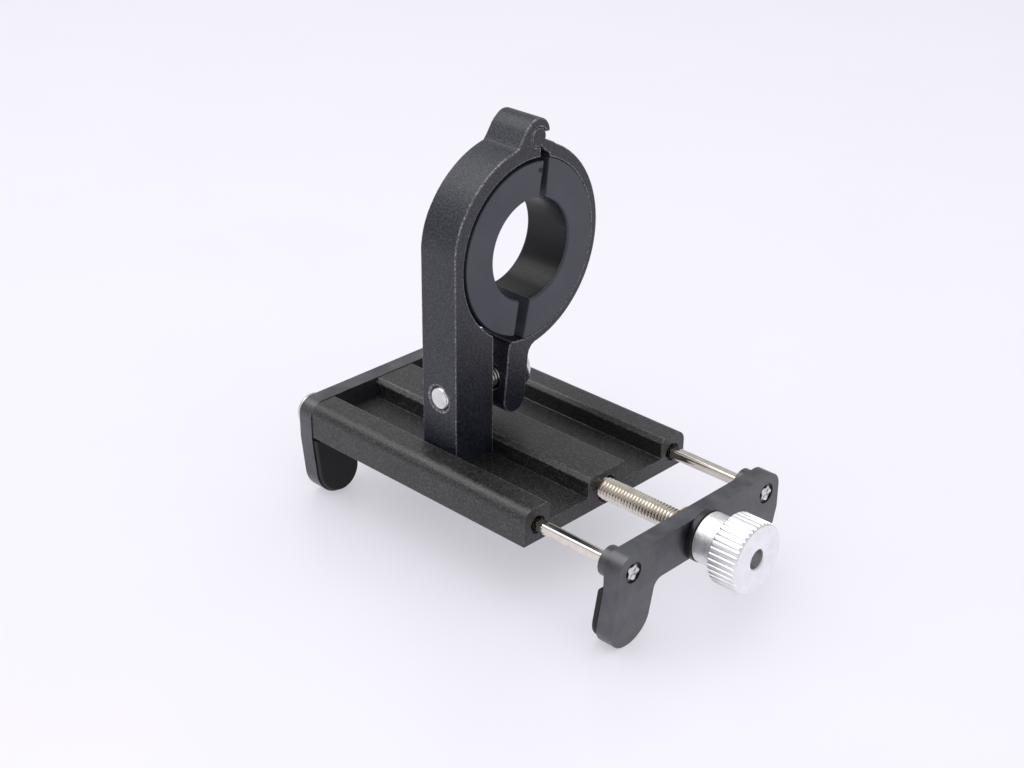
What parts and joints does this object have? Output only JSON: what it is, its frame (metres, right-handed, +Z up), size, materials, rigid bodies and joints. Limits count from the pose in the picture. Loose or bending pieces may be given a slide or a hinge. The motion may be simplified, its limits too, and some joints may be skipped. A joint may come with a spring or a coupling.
{
  "type": "handlebar phone mount",
  "caption": "Handlebar phone mount: extruded base with guide rods, clawed jaws drawn together by a thumb knob, and an arm with a hinged split ring that grips the bar.",
  "frame": {"origin": "on the handlebar's axis, in the middle of the arm's width; the ring stands above the base and the claws point down", "axes": "+X along the handlebar's axis and the guide rods, from the base towards the thumb knob; +Y from the arm's post towards the swinging half; +Z up, from the base towards the bar"},
  "size_m": [0.1097, 0.0506, 0.0899],
  "materials": {
    "base": "black anodised, bead blasted",
    "jaw": "black anodised, satin",
    "arm": "black anodised, bead blasted",
    "insert": "fine matte",
    "pad": "matte",
    "foam": "matte foam",
    "bush": "matte",
    "steel_screw": "zinc plated",
    "rod": "nickel plated, bright",
    "thread": "nickel plated, bright",
    "collar": "turned",
    "washer": "satin black",
    "knob": "clear anodised, knurled",
    "grub": "dark"
  },
  "bodies": {
    "frame": {"base_plate": "base", "back_pads": "foam", "guide_bushes": "bush", "rear_jaw": "jaw", "rear_jaw_screws": "steel_screw", "rear_claw_pads": "pad", "clamp_arm": "arm", "arm_screws": "steel_screw", "fixed_insert": "insert"},
    "front_jaw": {"front_jaw": "jaw", "guide_rod_left": "rod", "guide_rod_right": "rod", "front_claw_pads": "pad"},
    "knob": {"lead_screw": "thread", "thrust_collar": "collar", "knob_washer": "washer", "thumb_knob": "knob", "knob_grub_screw": "grub"},
    "clamp_half": {"clamp_half": "arm", "swing_insert": "insert"},
    "screw_slide": {"clamp_washer": "steel_screw"},
    "clamp_screw": {"clamp_screw": "steel_screw"}
  },
  "joints": [
    {"name": "jaw_slide", "type": "slide", "parent": "frame", "child": "front_jaw", "axis": [1, 0, 0], "range_m": [-0.018, 0.016]},
    {"name": "knob_turn", "type": "hinge", "parent": "front_jaw", "child": "knob", "pos_m": [0.0575, -0.0052, -0.0439], "axis": [1, 0, 0], "range_deg": [-8101, 7201]},
    {"name": "clamp_swing", "type": "hinge", "parent": "frame", "child": "clamp_half", "pos_m": [0, 0.0019, 0.0239], "axis": [1, 0, 0], "range_deg": [0, 6.5]},
    {"name": "clamp_screw_travel", "type": "slide", "parent": "frame", "child": "screw_slide", "axis": [0, 1, 0], "range_m": [0, 0.00553]},
    {"name": "clamp_screw_turn", "type": "hinge", "parent": "screw_slide", "child": "clamp_screw", "pos_m": [0, 0, -0.0286], "axis": [0, 1, 0], "range_deg": [0, 2488]}
  ],
  "couplings": [
    {"joint": "knob_turn", "follows": "jaw_slide", "rad_per_m": 7854},
    {"joint": "clamp_screw_travel", "follows": "clamp_swing", "m_per_rad": 0.0487},
    {"joint": "clamp_screw_turn", "follows": "clamp_swing", "ratio": 382.49}
  ]
}
